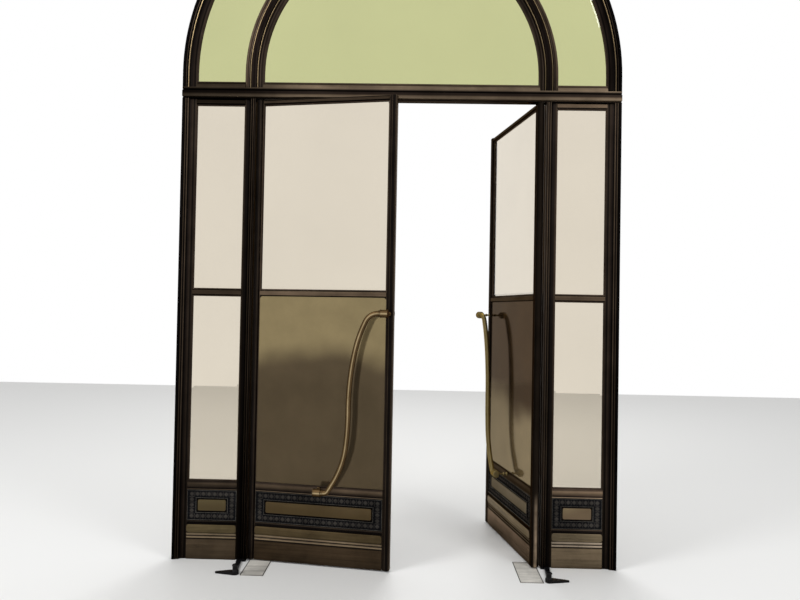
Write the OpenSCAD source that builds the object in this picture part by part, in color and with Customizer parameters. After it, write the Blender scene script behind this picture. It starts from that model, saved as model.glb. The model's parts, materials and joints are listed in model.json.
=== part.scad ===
// Arched bronze entrance screen with a pair of double-acting swing doors.
// Millimetres. +Z is up, the street side faces -Y, and the origin is the middle of the left jamb's foot.

/* [Screen] */
// Width across the two outer jambs
screen_w = 2750; // [2500:10:3200]
// Clear width between the two mullions
door_w = 1820; // [1600:10:2000]
// Height of the transom's underside above the floor
head_z = 2887; // [2600:1:3200]
// Depth of the jambs, mullions and arches
frame_d = 70; // [64:1:90]
// Face width of the outer jambs and the outer arch
jamb_w = 85; // [80:1:110]
// Face width of a mullion
mullion_w = 70; // [64:1:90]
// Face width of the inner arch
inner_arch_w = 112; // [100:1:140]
// Height of the transom without its sloped sill
transom_h = 69; // [66:1:110]
// How far the transom's band stands proud of the jambs
transom_proud = 6; // [3:1:12]
// Height of the sloped sill on top of the transom
sill_h = 38; // [30:1:60]
// Straight feet of the arches, from the transom up to the springing
stilt_h = 99; // [60:1:160]

/* [Glass] */
// Thickness of every pane
glass_t = 10; // [8:1:12]
// Thickness of a pane at its bevelled edge, and width of the groove that holds it
edge_t = 6; // [4:1:7]
// Width of the bevel that shows along a pane's edge
bevel_w = 18; // [12:1:24]
// How far a pane sits in its groove
glass_bite = 8; // [5:1:10]
// Free room behind the edge of a pane in its groove
glass_room = 2; // [1:0.5:3]
// Open joint between the two ring panes at the crown
crown_joint = 2; // [1:0.5:6]

/* [Mouldings] */
// Half depth of a section at its sight edge
sight_d = 13; // [11:1:16]
// Width of the flat at a section's sight edge
sight_w = 14; // [8:1:18]
// Radius of the thin beads on the frame
bead_r = 4; // [2:0.5:5]
// Step down from a section's flat edge to its first bead
step_d = 6; // [5:0.5:8]
// Width of the flat outer edge of a jamb
jamb_edge = 16; // [10:1:24]
// Width of the flat inner edge of a mullion
mullion_edge = 8; // [6:1:14]

/* [Rails] */
// Underside of the mid rails above the floor
mid_rail_z = 1646; // [1400:1:1800]
// Height of the mid rails
mid_rail_h = 40; // [30:1:60]
// Height of the leaves' top rails
top_rail_h = 30; // [29:1:60]
// Height of the sidelights' head rails
side_head_h = 37; // [28:1:60]
// Half depth of the rails
rail_d = 20; // [16:1:22]

/* [Apron] */
// Top of the apron above the floor
apron_z = 487; // [470:1:496]
// Height of the apron's own rail
apron_rail_h = 49; // [44:1:54]
// Rounding of the apron rail's edges
apron_round = 4.5; // [3:0.5:5]
// Top of the kick plate's band above the floor
kick_z = 218; // [208:1:226]
// Height of the brass band above the two beads
band_h = 48; // [30:1:60]
// Half depth of the kick plate
kick_d = 19; // [15:1:20]
// Radius of the two beads over the kick plate
kick_bead_r = 5; // [3:0.5:6]
// Radius of the beads above and below the ornament
panel_bead_r = 5; // [3:0.5:6]
// Height of the flat below the lower panel bead
panel_foot_h = 12; // [10:1:16]
// Width of the ornament's patterned border above and below the centre plate
border_w = 60; // [50:1:64]
// Width of the ornament's patterned border at the centre plate's two ends
border_end = 68; // [50:1:80]
// Thickness of the ornament on each face
ornament_t = 3; // [2:0.5:5]
// Width of the raised lines along both edges of the border
line_w = 5; // [3:0.5:7]
// Height of the raised lines above the border
line_rise = 2; // [1:0.5:3]
// Dark margin between the border and the centre plate
margin_w = 9; // [5:1:14]
// Thickness of the plain centre plate
centre_t = 4; // [2:0.5:6]
// Corner radius of the plain centre plate
centre_r = 9; // [4:1:10]

/* [Leaves] */
// Gap between a leaf and the floor
floor_gap = 8; // [8:1:20]
// Gap between a leaf and the transom
head_gap = 5; // [5:1:12]
// Gap between the two closed leaves at their middle plane
meeting_gap = 7; // [6:1:12]
// Half thickness of a stile
stile_d = 22; // [20:1:24]
// Radius of the rounded heel around the pivot
heel_r = 39; // [36:1:46]
// Gap between the heel and its hollow in the mullion
heel_gap = 6; // [5:0.5:8]
// Depth of the hollow in the mullion
hollow_d = 5; // [3:0.5:8]
// Width of the hinge stile from the heel to its sight edge
hinge_stile_w = 50; // [46:1:60]
// Width of the free stile
free_stile_w = 48; // [44:1:60]
// Half thickness of the brass push plate
plate_d = 12; // [10:1:13]
// Angle at which the left leaf stands open towards the street
left_open = 9; // [0:1:85]
// Angle at which the right leaf stands open away from the street
right_open = 78; // [0:1:85]

/* [Pivots] */
// Radius of the pivot pins
pin_r = 7.5; // [6:0.5:8]
// Radial clearance of a pin in its leaf
pin_gap = 0.08; // [0.05:0.01:0.1]
// Depth of the pin holes in a leaf
pin_hole = 17; // [14:1:17]
// Free room at the bottom of a pin hole
pin_room = 3; // [1:0.5:5]
// Thickness of the floor pivot's cover plate
cover_t = 2; // [1.5:0.5:3]
// Width of the cover plate along the screen
cover_w = 138; // [100:1:150]
// Length of the cover plate across the screen
cover_l = 315; // [280:1:340]
// Distance of the cover plate's front edge from the screen's middle
cover_front = 255; // [240:1:260]
// Clear distance between the cover plate and the mullion
cover_gap = 20; // [18:1:30]

/* [Handles] */
// Height of a handle's upper end
grip_top_z = 1550; // [1535:1:1600]
// Distance of the upper spindle from the leaf's free edge
grip_top_in = 27; // [25:0.5:27.5]
// Depth of a handle's lower end below the apron's top
grip_low_drop = 17; // [17:0.5:24]
// Distance of the lower spindle from the leaf's free edge
grip_low_in = 447; // [447:1:457]
// Distance of the bar's middle from the leaf's middle plane
grip_off = 100; // [90:1:110]
// Straight length at the bar's upper end
grip_lead = 51.5; // [51:0.5:52]
// Radius of the bar
grip_r = 16.5; // [13:0.5:17]
// Radius of the bar's first bend below the upper knob
shoulder_r = 82; // [74:1:83]
// Radius of the bar's second bend, above the straight part
neck_r = 780; // [700:5:785]
// Radius of the long sweeps into and out of the straight part
sweep_r = 1600; // [1400:10:1620]
// Radius of the bend under the straight part
waist_r = 540; // [480:5:545]
// Straight length of the bar's slope above its last bend
grip_slope = 60; // [50:1:61]
// Radius of the last bend before the lower knob
ankle_r = 29; // [26:1:30]
// Radius of the knob at each end
knob_r = 23; // [20:0.5:24]
// Length of the knob at each end
knob_l = 48; // [42:1:48]
// Length of the turned collar between a knob and the bar
collar_l = 13; // [11:1:13]
// Length of a knob beyond its spindle
knob_end = 10; // [9:1:12]
// Radius of the spindles
spindle_r = 6; // [5:0.5:6.5]
// Radius of the ball turned on each spindle
ball_r = 10; // [9:0.5:12]
// Radius of the rosettes
rosette_r = 12; // [11.5:0.5:12]
// Thickness of the rosettes
rosette_t = 6; // [4:0.5:10]

/* [Foot stops] */
// Length of a foot from heel to toe
foot_l = 143; // [120:1:180]
// Thickness of a foot's sole at the heel
foot_h = 18; // [14:1:24]
// Thickness of a foot's sole at the toe
toe_h = 9; // [6:1:12]
// Radius of the round heel
foot_r = 22; // [20:1:26]
// Height of the post on the heel
post_h = 56; // [40:1:80]
// Distance of the heel's middle from the frame
foot_out = 198; // [120:1:220]
// Width of the arm between the heel and the mullion
foot_arm_w = 22; // [16:1:30]
// Height of the arm
foot_arm_h = 13; // [10:1:13]
// Sideways distance of the arm's root from the doorway
root_in = 46; // [30:1:50]

/* [Hidden] */

// Colours as they look in daylight
bronze = [0.15, 0.12, 0.10];
dark_bronze = [0.10, 0.09, 0.08];
brass = [0.50, 0.43, 0.29];
bright_brass = [0.72, 0.62, 0.40];
glass_tint = [0.72, 0.74, 0.62, 0.45];
black_iron = [0.06, 0.06, 0.07];

// Frame places, measured from the middle of the doorway
half_w = screen_w / 2;
half_d = frame_d / 2;
jamb_in = half_w - jamb_w;
mullion_in = door_w / 2;
mullion_out = mullion_in + mullion_w;
frame_x = half_w - jamb_w / 2;
band_d = half_d + transom_proud;
transom_z = head_z + transom_h;
spring_z = transom_z + stilt_h;
toe_r = 7;
sill_z = transom_z + sill_h;
inner_arch_r = mullion_out - inner_arch_w;
groove_w = glass_bite + glass_room;
half_glass = glass_t / 2;
half_edge = edge_t / 2;

// Leaf places, measured from the pivot towards the free edge
pivot_x = mullion_in + hollow_d - heel_gap - heel_r;
hollow_r = heel_r + heel_gap;
leaf_u = pivot_x - meeting_gap / 2;
hinge_sight = hinge_stile_w - heel_r;
free_sight = leaf_u - free_stile_w;
leaf_low = floor_gap;
pin_in = pin_hole - pin_room;
leaf_top = head_z - head_gap;
panel_low = kick_z + panel_foot_h + 2 * panel_bead_r;
panel_top = apron_z - apron_rail_h - 2 * panel_bead_r;
grip_top_u = leaf_u - grip_top_in;
grip_low_u = leaf_u - grip_low_in;
grip_low_z = apron_z - grip_low_drop;
ground_d = plate_d;
field_in = border_w - margin_w;
field_end = border_end - margin_w;
arc_steps = 6;
curve = 96;

// Points on an arc of radius r around [x, y], from angle a to angle b
function arc_points(x, y, r, a, b, steps) =
    [for (i = [0:steps]) [x + r * cos(a + (b - a) * i / steps), y + r * sin(a + (b - a) * i / steps)]];

// The same outline seen from the other face, in reverse order
function other_face(points) = [for (i = [len(points) - 1:-1:0]) [points[i][0], -points[i][1]]];

// Half of a jamb's section as [distance from the outer edge, half depth], ending at the sight edge
function jamb_half(w, edge) = concat(
    [[0, half_d], [edge, half_d], [edge, half_d - step_d]],
    arc_points(edge + bead_r + 2, half_d - step_d, bead_r, 180, 0, arc_steps),
    [[edge + 2 * bead_r + 4, half_d - step_d], [edge + 2 * bead_r + 4, half_d - step_d - 3]],
    arc_points(edge + 3 * bead_r + 8, half_d - step_d - 3, bead_r, 180, 0, arc_steps),
    [[edge + 4 * bead_r + 11, half_d - step_d - 3]],
    cavetto(edge + 4 * bead_r + 11, half_d - step_d - 5, w - sight_w, sight_d),
    [[w, sight_d]]
);

// Hollow curve from [x0, d0] down to [x1, d1]
function cavetto(x0, d0, x1, d1) =
    [for (i = [0:arc_steps]) let (a = 90 * i / arc_steps)
        [x0 + (x1 - x0) * (1 - cos(a)), d0 - (d0 - d1) * sin(a)]];

// Groove that holds the edge of a pane, cut into a section's sight edge at w
function pane_groove(w) = [
    [w, half_edge], [w - groove_w, half_edge], [w - groove_w, -half_edge], [w, -half_edge]
];

// Whole section of a jamb, from its outer edge at 0 to its sight edge at w
function jamb_section(w, edge) = concat(jamb_half(w, edge), other_face(jamb_half(w, edge)));

// Half of the inner arch's section from one sight edge to the other
function arch_half(w) = concat(
    [[0, sight_d], [sight_w, sight_d]],
    arch_rise(w),
    other_way(arch_rise(w), w),
    [[w - sight_w, sight_d], [w, sight_d]]
);

// One flank of the inner arch, from the sight flat up to its raised middle
function arch_rise(w) = concat(
    other_way(cavetto(w - sight_w - 14, half_d - 9, w - sight_w, sight_d), w),
    arc_points(sight_w + 20, half_d - 9, bead_r, 180, 0, arc_steps),
    [[sight_w + 20 + bead_r, half_d - 5], [sight_w + 28, half_d - 5], [sight_w + 28, half_d]]
);

// The same points counted from the other edge, in reverse order
function other_way(points, w) = [for (i = [len(points) - 1:-1:0]) [w - points[i][0], points[i][1]]];

// Moves a sub-part from the doorway's middle to the part's own origin
module placed() {
    translate([frame_x, 0, 0])
        children();
}

module on_left_leaf() {
    placed()
        translate([-pivot_x, 0, 0])
            rotate([0, 0, -left_open])
                children();
}

module on_right_leaf() {
    placed()
        translate([pivot_x, 0, 0])
            rotate([0, 0, -right_open])
                mirror([1, 0, 0])
                    children();
}

// Groove for a sidelight's panes, from x towards +X, down to the apron's own groove
module side_pane_groove(x) {
    low = apron_z - groove_w;
    translate([x, -half_edge, low])
        cube([groove_w + 1, edge_t, head_z - low + 1]);
}

// Jamb on the -X side, from the floor to the transom
module jamb() {
    difference() {
        translate([-half_w, 0, 0])
            linear_extrude(head_z)
                polygon(jamb_section(jamb_w, jamb_edge));
        side_pane_groove(-jamb_in - groove_w);
    }
}

// Mullion on the -X side, hollowed on its door side for the leaf's heel
module mullion() {
    difference() {
        translate([-mullion_in, 0, 0])
            mirror([1, 0, 0])
                linear_extrude(head_z)
                    polygon(jamb_section(mullion_w, mullion_edge));
        translate([-pivot_x, 0, -1])
            cylinder(r = hollow_r, h = head_z + 2, $fn = curve);
        side_pane_groove(-mullion_out - 1);
    }
}

// Transom's section as [half depth, height], from its underside up
function transom_half() = [
    [half_d - 8, 0], [half_d - 8, 9], [band_d - 3, 9], [band_d, 12],
    [band_d, transom_h - 23], [band_d - 3, transom_h - 20],
    [half_d - 5, transom_h - 20], [half_d - 5, transom_h - 12], [half_d + 1, transom_h - 12],
    [half_d + 1, transom_h]
];

module transom_bar() {
    rotate([90, 0, 90])
        linear_extrude(screen_w, center = true)
            polygon(concat(transom_half(), [for (i = [len(transom_half()) - 1:-1:0])
                [-transom_half()[i][0], transom_half()[i][1]]]));
}

// Sloped sill between two arch feet, with the groove for the fanlight's glass
module sill(x0, x1) {
    slope = [
        [half_d - 1, 0], [sight_d + 5, sill_h - 8], [sight_d, sill_h - 8], [sight_d, sill_h],
        [half_edge, sill_h], [half_edge, sill_h - groove_w],
        [-half_edge, sill_h - groove_w], [-half_edge, sill_h],
        [-sight_d, sill_h], [-sight_d, sill_h - 8], [-sight_d - 5, sill_h - 8], [-half_d + 1, 0]
    ];
    translate([x0, 0, transom_h])
        rotate([90, 0, 90])
            linear_extrude(x1 - x0)
                polygon(slope);
}

module top_pin(x) {
    translate([x, 0, -head_gap - pin_in])
        cylinder(r = pin_r, h = head_gap + pin_in + 10, $fn = curve);
}

module arch_ring(points) {
    translate([0, 0, spring_z])
        rotate([90, 0, 0])
            rotate_extrude(angle = 180, $fn = 2 * curve)
                polygon(points);
}

module arch_foot(points) {
    translate([0, 0, transom_z])
        linear_extrude(stilt_h)
            polygon(points);
}

module arch(points) {
    arch_ring(points);
    arch_foot(points);
    mirror([1, 0, 0])
        arch_foot(points);
}

// Radius and half depth of every point of the outer arch
function outer_arch_points() = [
    for (half = [jamb_half(jamb_w, jamb_edge)])
        for (p = concat(half, pane_groove(jamb_w), other_face(half)))
            [half_w - p[0], p[1]]
];

// Radius and half depth of every point of the inner arch, with a groove on both edges
function inner_arch_points() = concat(
    [for (p = arch_half(inner_arch_w)) [inner_arch_r + p[0], p[1]]],
    [for (p = pane_groove(inner_arch_w)) [inner_arch_r + p[0], p[1]]],
    [for (p = other_face(arch_half(inner_arch_w))) [inner_arch_r + p[0], p[1]]],
    [[inner_arch_r, -half_edge], [inner_arch_r + groove_w, -half_edge],
     [inner_arch_r + groove_w, half_edge], [inner_arch_r, half_edge]]
);

// Outline of a pane w wide, as [distance along it, depth], with a bevel at both ends
function pane_outline(w) = concat(edge_outline(w), [for (p = edge_outline(w)) [w - p[0], -p[1]]]);

// The front half of that outline's first edge and the back half of its last
function edge_outline(w) = [
    [0, -half_edge], [0, half_edge], [glass_bite, half_edge], [glass_bite + bevel_w, half_glass],
    [w - glass_bite - bevel_w, half_glass], [w - glass_bite, half_edge]
];

// Outline of a pane's upright section from its bevelled foot up to a plain end at h
function foot_outline(h) = [
    [-half_edge, 0], [half_edge, 0], [half_edge, glass_bite], [half_glass, glass_bite + bevel_w],
    [half_glass, h], [-half_glass, h], [-half_glass, glass_bite + bevel_w], [-half_edge, glass_bite]
];

// Straight foot of a fanlight pane w wide, standing in the sill's groove
module pane_foot(w) {
    h = spring_z - sill_z + glass_bite;
    translate([0, 0, sill_z - glass_bite])
        intersection() {
            linear_extrude(h)
                polygon(pane_outline(w));
            rotate([90, 0, 90])
                linear_extrude(w)
                    polygon(foot_outline(h));
        }
}

// Half of the ring pane on the +X side, between the two arches
module ring_pane() {
    r0 = mullion_out - glass_bite;
    w = jamb_in + glass_bite - r0;
    joint = crown_joint / 2;
    difference() {
        union() {
            translate([0, 0, spring_z])
                rotate([90, 0, 0])
                    rotate_extrude(angle = 90, $fn = 2 * curve)
                        translate([r0, 0])
                            polygon(pane_outline(w));
            translate([r0, 0, 0])
                pane_foot(w);
        }
        translate([-joint, -glass_t, spring_z])
            cube([2 * joint, 2 * glass_t, half_w]);
    }
}

module lunette_pane() {
    r = inner_arch_r + glass_bite;
    translate([0, 0, spring_z])
        rotate([90, 0, 0])
            rotate_extrude(angle = 180, $fn = 2 * curve)
                polygon([
                    [0, -half_glass], [r - glass_bite - bevel_w, -half_glass], [r - glass_bite, -half_edge],
                    [r, -half_edge], [r, half_edge], [r - glass_bite, half_edge],
                    [r - glass_bite - bevel_w, half_glass], [0, half_glass]
                ]);
    translate([-r, 0, 0])
        pane_foot(2 * r);
}

// Rail between x0 and x1 with a pane groove above, below or both
module rail(x0, x1, z, h, groove_above, groove_below) {
    chamfer = 5;
    translate([x0, 0, z])
        rotate([90, 0, 90])
            difference() {
                linear_extrude(x1 - x0)
                    polygon([
                        [-sight_d, 0], [sight_d, 0], [sight_d, 3], [rail_d, 3 + chamfer],
                        [rail_d, h - 3 - chamfer], [sight_d, h - 3], [sight_d, h],
                        [-sight_d, h], [-sight_d, h - 3], [-rail_d, h - 3 - chamfer],
                        [-rail_d, 3 + chamfer], [-sight_d, 3]
                    ]);
                if (groove_above)
                    translate([-half_edge, h - groove_w, -1])
                        cube([edge_t, groove_w + 1, x1 - x0 + 2]);
                if (groove_below)
                    translate([-half_edge, -1, -1])
                        cube([edge_t, groove_w + 1, x1 - x0 + 2]);
            }
}

// Bevelled pane whose sight edges are at x0, x1, z0 and z1
module pane(x0, x1, z0, z1) {
    w = x1 - x0 + 2 * glass_bite;
    h = z1 - z0 + 2 * glass_bite;
    translate([x0 - glass_bite, 0, z0 - glass_bite])
        intersection() {
            linear_extrude(h)
                polygon(pane_outline(w));
            rotate([90, 0, 90])
                linear_extrude(w)
                    polygon([for (p = pane_outline(h)) [p[1], p[0]]]);
        }
}

// Half of an apron's section: its own rail at the top, and a bead above and below the ornament's ground
function apron_half() = concat(
    [[ground_d + 2, kick_z], [ground_d + 2, kick_z + panel_foot_h], [ground_d, kick_z + panel_foot_h]],
    arc_points(ground_d, kick_z + panel_foot_h + panel_bead_r, panel_bead_r, -90, 90, arc_steps),
    arc_points(ground_d, apron_z - apron_rail_h - panel_bead_r, panel_bead_r, -90, 90, arc_steps),
    arc_points(rail_d - apron_round, apron_z - apron_rail_h + apron_round, apron_round, -90, 0, arc_steps),
    arc_points(rail_d - apron_round, apron_z - apron_round, apron_round, 0, 90, arc_steps)
);

module apron(x0, x1) {
    translate([x0, 0, 0])
        rotate([90, 0, 90])
            linear_extrude(x1 - x0)
                polygon(concat(apron_half(), [for (i = [len(apron_half()) - 1:-1:0])
                    [-apron_half()[i][0], apron_half()[i][1]]]));
}

// Kick plate, two beads and the brass band above them, down to z0
module kick(x0, x1, z0) {
    band_low = kick_z - 4 - band_h;
    bead_top = band_low - 4 - kick_bead_r;
    bead_low = bead_top - 2 * kick_bead_r - 5;
    half = concat(
        [[kick_d, z0], [kick_d, bead_low - kick_bead_r - 12], [kick_d - 3, bead_low - kick_bead_r - 12]],
        arc_points(kick_d - 3, bead_low, kick_bead_r, -90, 90, arc_steps),
        arc_points(kick_d - 3, bead_top, kick_bead_r, -90, 90, arc_steps),
        [[kick_d - 3, band_low], [kick_d + 2, band_low], [kick_d + 3, band_low + band_h / 2],
         [kick_d + 2, band_low + band_h], [kick_d - 2, band_low + band_h], [kick_d - 2, kick_z]]
    );
    translate([x0, 0, 0])
        rotate([90, 0, 90])
            linear_extrude(x1 - x0)
                polygon(concat(half, [for (i = [len(half) - 1:-1:0]) [-half[i][0], half[i][1]]]));
}

// A flat plate on both faces of an apron, from half depth d outwards
module both_faces(d, t) {
    for (side = [-1, 1])
        translate([0, side * (d + t / 2) + t / 2, 0])
            rotate([90, 0, 0])
                linear_extrude(t)
                    children();
}

// The ornament's field between x0 and x1, drawn in by end at its ends and by d above and below
module field(x0, x1, end, d) {
    translate([x0 + end, panel_low + d])
        square([x1 - x0 - 2 * end, panel_top - panel_low - 2 * d]);
}

// What the inner field leaves of the ornament's outer field, both given as [end, d]
module field_band(x0, x1, outer, inner) {
    difference() {
        field(x0, x1, outer[0], outer[1]);
        field(x0, x1, inner[0], inner[1]);
    }
}

// Patterned border with a raised line along its outer and its inner edge
module ornament(x0, x1) {
    inner = [field_end, field_in];
    both_faces(ground_d, ornament_t)
        field_band(x0, x1, [0, 0], inner);
    both_faces(ground_d, ornament_t + line_rise) {
        field_band(x0, x1, [0, 0], [line_w, line_w]);
        field_band(x0, x1, inner - [line_w, line_w], inner);
    }
}

// Plain plate with round corners in the middle of the ornament
module centre_plate(x0, x1) {
    w = x1 - x0 - 2 * border_end;
    h = panel_top - panel_low - 2 * border_w;
    both_faces(ground_d, centre_t)
        translate([x0 + border_end, panel_low + border_w]) {
            translate([centre_r, 0])
                square([w - 2 * centre_r, h]);
            translate([0, centre_r])
                square([w, h - 2 * centre_r]);
            for (x = [centre_r, w - centre_r])
                for (z = [centre_r, h - centre_r])
                    translate([x, z])
                        circle(r = centre_r, $fn = 48);
        }
}

// Fixed sidelight on the -X side
side_x0 = -jamb_in;
side_x1 = -mullion_out;

module side_rails() {
    color(bronze) {
        rail(side_x0, side_x1, head_z - side_head_h, side_head_h, false, true);
        rail(side_x0, side_x1, mid_rail_z, mid_rail_h, true, true);
    }
}

module side_glass() {
    color(glass_tint) {
        pane(side_x0, side_x1, mid_rail_z + mid_rail_h, head_z - side_head_h);
        pane(side_x0, side_x1, apron_z, mid_rail_z);
    }
}

// Apron with a groove in its top for the lower pane
module side_apron() {
    color(dark_bronze)
        difference() {
            apron(side_x0, side_x1);
            translate([side_x0 - 1, -half_edge, apron_z - groove_w])
                cube([side_x1 - side_x0 + 2, edge_t, groove_w + 1]);
        }
}

module side_ornament() {
    color(dark_bronze) ornament(side_x0, side_x1);
}

module side_centre() {
    color(brass) centre_plate(side_x0, side_x1);
}

module side_kick() {
    color(brass) kick(side_x0, side_x1, 0);
}

// Shallow groove in a stile's face, starting at u
function stile_groove(u) = [[u, stile_d], [u + 1, stile_d - 1.5], [u + 2, stile_d - 1.5], [u + 3, stile_d]];

// Last points of a stile's face, down to its sight edge at u
function stile_sight(u) = [[u - 9, stile_d], [u - 6, sight_d], [u, sight_d]];

// Groove for the upper pane, from u towards +X, where the pane is and nowhere else
module stile_pane_groove(u) {
    low = mid_rail_z + mid_rail_h - groove_w;
    top = leaf_top - top_rail_h + groove_w;
    translate([u, -half_edge, low])
        cube([groove_w + 1, edge_t, top - low]);
}

// Hinge stile with a round heel, and a hole for the pivot pin at each end
module hinge_stile() {
    cheek = heel_r * cos(asin(stile_d / heel_r));
    half = concat(
        arc_points(0, 0, heel_r, 180, 180 - asin(stile_d / heel_r), arc_steps),
        stile_groove(4 - cheek),
        stile_groove(hinge_sight - 18),
        stile_sight(hinge_sight)
    );
    color(bronze)
        difference() {
            translate([0, 0, leaf_low])
                linear_extrude(leaf_top - leaf_low)
                    polygon(concat(half, other_face(half)));
            stile_pane_groove(hinge_sight - groove_w);
            translate([0, 0, leaf_low - 1])
                cylinder(r = pin_r + pin_gap, h = pin_hole + 1, $fn = curve);
            translate([0, 0, leaf_top - pin_hole])
                cylinder(r = pin_r + pin_gap, h = pin_hole + 1, $fn = curve);
        }
}

module free_stile() {
    half = concat(
        [[0, stile_d - 3], [3, stile_d]],
        stile_groove(6),
        stile_groove(free_stile_w - 18),
        stile_sight(free_stile_w)
    );
    color(bronze)
        difference() {
            translate([leaf_u, 0, leaf_low])
                mirror([1, 0, 0])
                    linear_extrude(leaf_top - leaf_low)
                        polygon(concat(half, other_face(half)));
            stile_pane_groove(free_sight - 1);
        }
}

module leaf_rails() {
    color(bronze) {
        rail(hinge_sight, free_sight, leaf_top - top_rail_h, top_rail_h, false, true);
        rail(hinge_sight, free_sight, mid_rail_z, mid_rail_h, true, false);
    }
}

module leaf_glass() {
    color(glass_tint)
        pane(hinge_sight, free_sight, mid_rail_z + mid_rail_h, leaf_top - top_rail_h);
}

module push_plate() {
    color(brass)
        translate([hinge_sight, -plate_d, apron_z])
            cube([free_sight - hinge_sight, 2 * plate_d, mid_rail_z - apron_z]);
}

module leaf_apron() {
    color(dark_bronze) apron(hinge_sight, free_sight);
}

module leaf_ornament() {
    color(dark_bronze) ornament(hinge_sight, free_sight);
}

module leaf_centre() {
    color(brass) centre_plate(hinge_sight, free_sight);
}

module leaf_kick() {
    color(brass) kick(hinge_sight, free_sight, leaf_low);
}

// Handle bends as [radius, turn], from the upper end down to the straight part and from there to the slope
top_bends = [[shoulder_r, 64], [neck_r, 14], [sweep_r, 12]];
low_bends = [[sweep_r, -7], [waist_r, -24]];
ankle = [ankle_r, -59];
slope_way = 270 - 7 - 24;

// Where a chain of bends leads, as [along, across], for a start heading of a
function bend_run(bends, a, i = 0) = i >= len(bends) ? [0, 0] :
    let (r = bends[i][0], t = bends[i][1], s = t > 0 ? 1 : -1)
    [s * r * (sin(a + t) - sin(a)), s * r * (cos(a) - cos(a + t))] + bend_run(bends, a + t, i + 1);

top_run = bend_run(top_bends, 180);
slope_run = grip_slope * [cos(slope_way), sin(slope_way)];
low_run = bend_run(low_bends, 270) + slope_run + bend_run([ankle], slope_way);
grip_tail = grip_top_u - grip_low_u + top_run[0] + low_run[0] - grip_lead;
grip_straight = grip_top_z - grip_low_z + top_run[1] + low_run[1];
grip_lap = 3;

// A round bar bent along +X, then whatever follows from its end; a bar with a lap runs into its neighbours
module bend(r, turn, lap = 0) {
    side = turn > 0 ? 1 : -1;
    more = lap * 180 / (PI * r);
    translate([0, side * r, 0])
        rotate([0, 0, (turn > 0 ? -90 : 90 + turn) - more])
            rotate_extrude(angle = abs(turn) + 2 * more, $fn = 2 * curve)
                translate([r, 0])
                    circle(r = grip_r - lap / 12, $fn = 32);
    translate([r * sin(abs(turn)), side * r * (1 - cos(turn)), 0])
        rotate([0, 0, turn])
            children();
}

// A straight bar along +X from start, then whatever follows from its end; a lap runs into its neighbours
module run(length, start = 0, lap = 0) {
    translate([start - lap, 0, 0])
        rotate([0, 90, 0])
            cylinder(r = grip_r - lap / 12, h = length - start + 2 * lap, $fn = 32);
    translate([length, 0, 0])
        children();
}

// Knob over a spindle with its collar, turned around the bar's line and longer towards -X
module knob() {
    back = knob_end - knob_l;
    rotate([0, 90, 0])
        rotate_extrude($fn = 64)
            polygon([
                [0, knob_end], [knob_r - 4, knob_end], [knob_r, knob_end - 2],
                [knob_r + 2, knob_end - 2.5], [knob_r + 2, knob_end - 5.5], [knob_r, knob_end - 6],
                [knob_r, back + 5], [knob_r + 2, back + 4], [knob_r + 2, back + 1], [knob_r - 1, back],
                [grip_r + 1.5, back - 3], [grip_r + 1.5, back - 5], [grip_r + 3.5, back - 6],
                [grip_r + 3.5, back - 9], [grip_r + 1.5, back - 10], [grip_r + 1, back - collar_l],
                [0, back - collar_l]
            ]);
}

// Turned spindle with its rosette and ball, from the leaf's face at half depth d into a knob
module spindle(d) {
    l = grip_off - d + 5;
    ball_z = rosette_t + 8 + ball_r;
    a = acos(spindle_r / ball_r);
    translate([0, grip_off - d, 0])
        rotate([90, 0, 0])
            rotate_extrude($fn = 48)
                polygon(concat(
                    [[0, 0], [rosette_r, 0], [rosette_r, rosette_t - 2], [rosette_r - 2, rosette_t],
                     [spindle_r + 3, rosette_t], [spindle_r + 0.5, rosette_t + 4], [spindle_r, rosette_t + 7]],
                    arc_points(0, ball_z, ball_r, -a, a, 2 * arc_steps),
                    [[spindle_r, l], [0, l]]
                ));
}

module handle() {
    color(bright_brass) {
        translate([grip_top_u, -grip_off, grip_top_z]) {
            knob();
            spindle(stile_d);
            rotate([-90, 0, 180])
                run(grip_lead, 10)
                    bend(top_bends[0][0], top_bends[0][1], grip_lap)
                        bend(top_bends[1][0], top_bends[1][1])
                            bend(top_bends[2][0], top_bends[2][1], grip_lap)
                                run(grip_straight)
                                    bend(low_bends[0][0], low_bends[0][1], grip_lap)
                                        bend(low_bends[1][0], low_bends[1][1])
                                            run(grip_slope, 0, grip_lap)
                                                bend(ankle[0], ankle[1])
                                                    run(grip_tail - 10, 0, grip_lap);
        }
        translate([grip_low_u, -grip_off, grip_low_z]) {
            mirror([1, 0, 0])
                knob();
            spindle(rail_d);
        }
    }
}

// Cover plate and spindle of the floor pivot on the -X side
module floor_pivot() {
    translate([-mullion_in + cover_gap, -cover_front, 0])
        cube([cover_w, cover_l, cover_t]);
    translate([-pivot_x, 0, 0])
        cylinder(r = pin_r, h = floor_gap + pin_in, $fn = curve);
}

// Plan of a foot stop's sole: round heel at [0, 0], drawn out to a pointed toe
function sole_points() =
    let (x = foot_r + toe_r - foot_l, y = 8)
    let (aim = atan2(y, x), turn = acos((foot_r - toe_r) / norm([x, y])))
    concat(
        arc_points(0, 0, foot_r, aim + turn - 360, aim - turn, 4 * arc_steps),
        arc_points(x, y, toe_r, aim - turn, aim + turn, 2 * arc_steps)
    );

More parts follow.
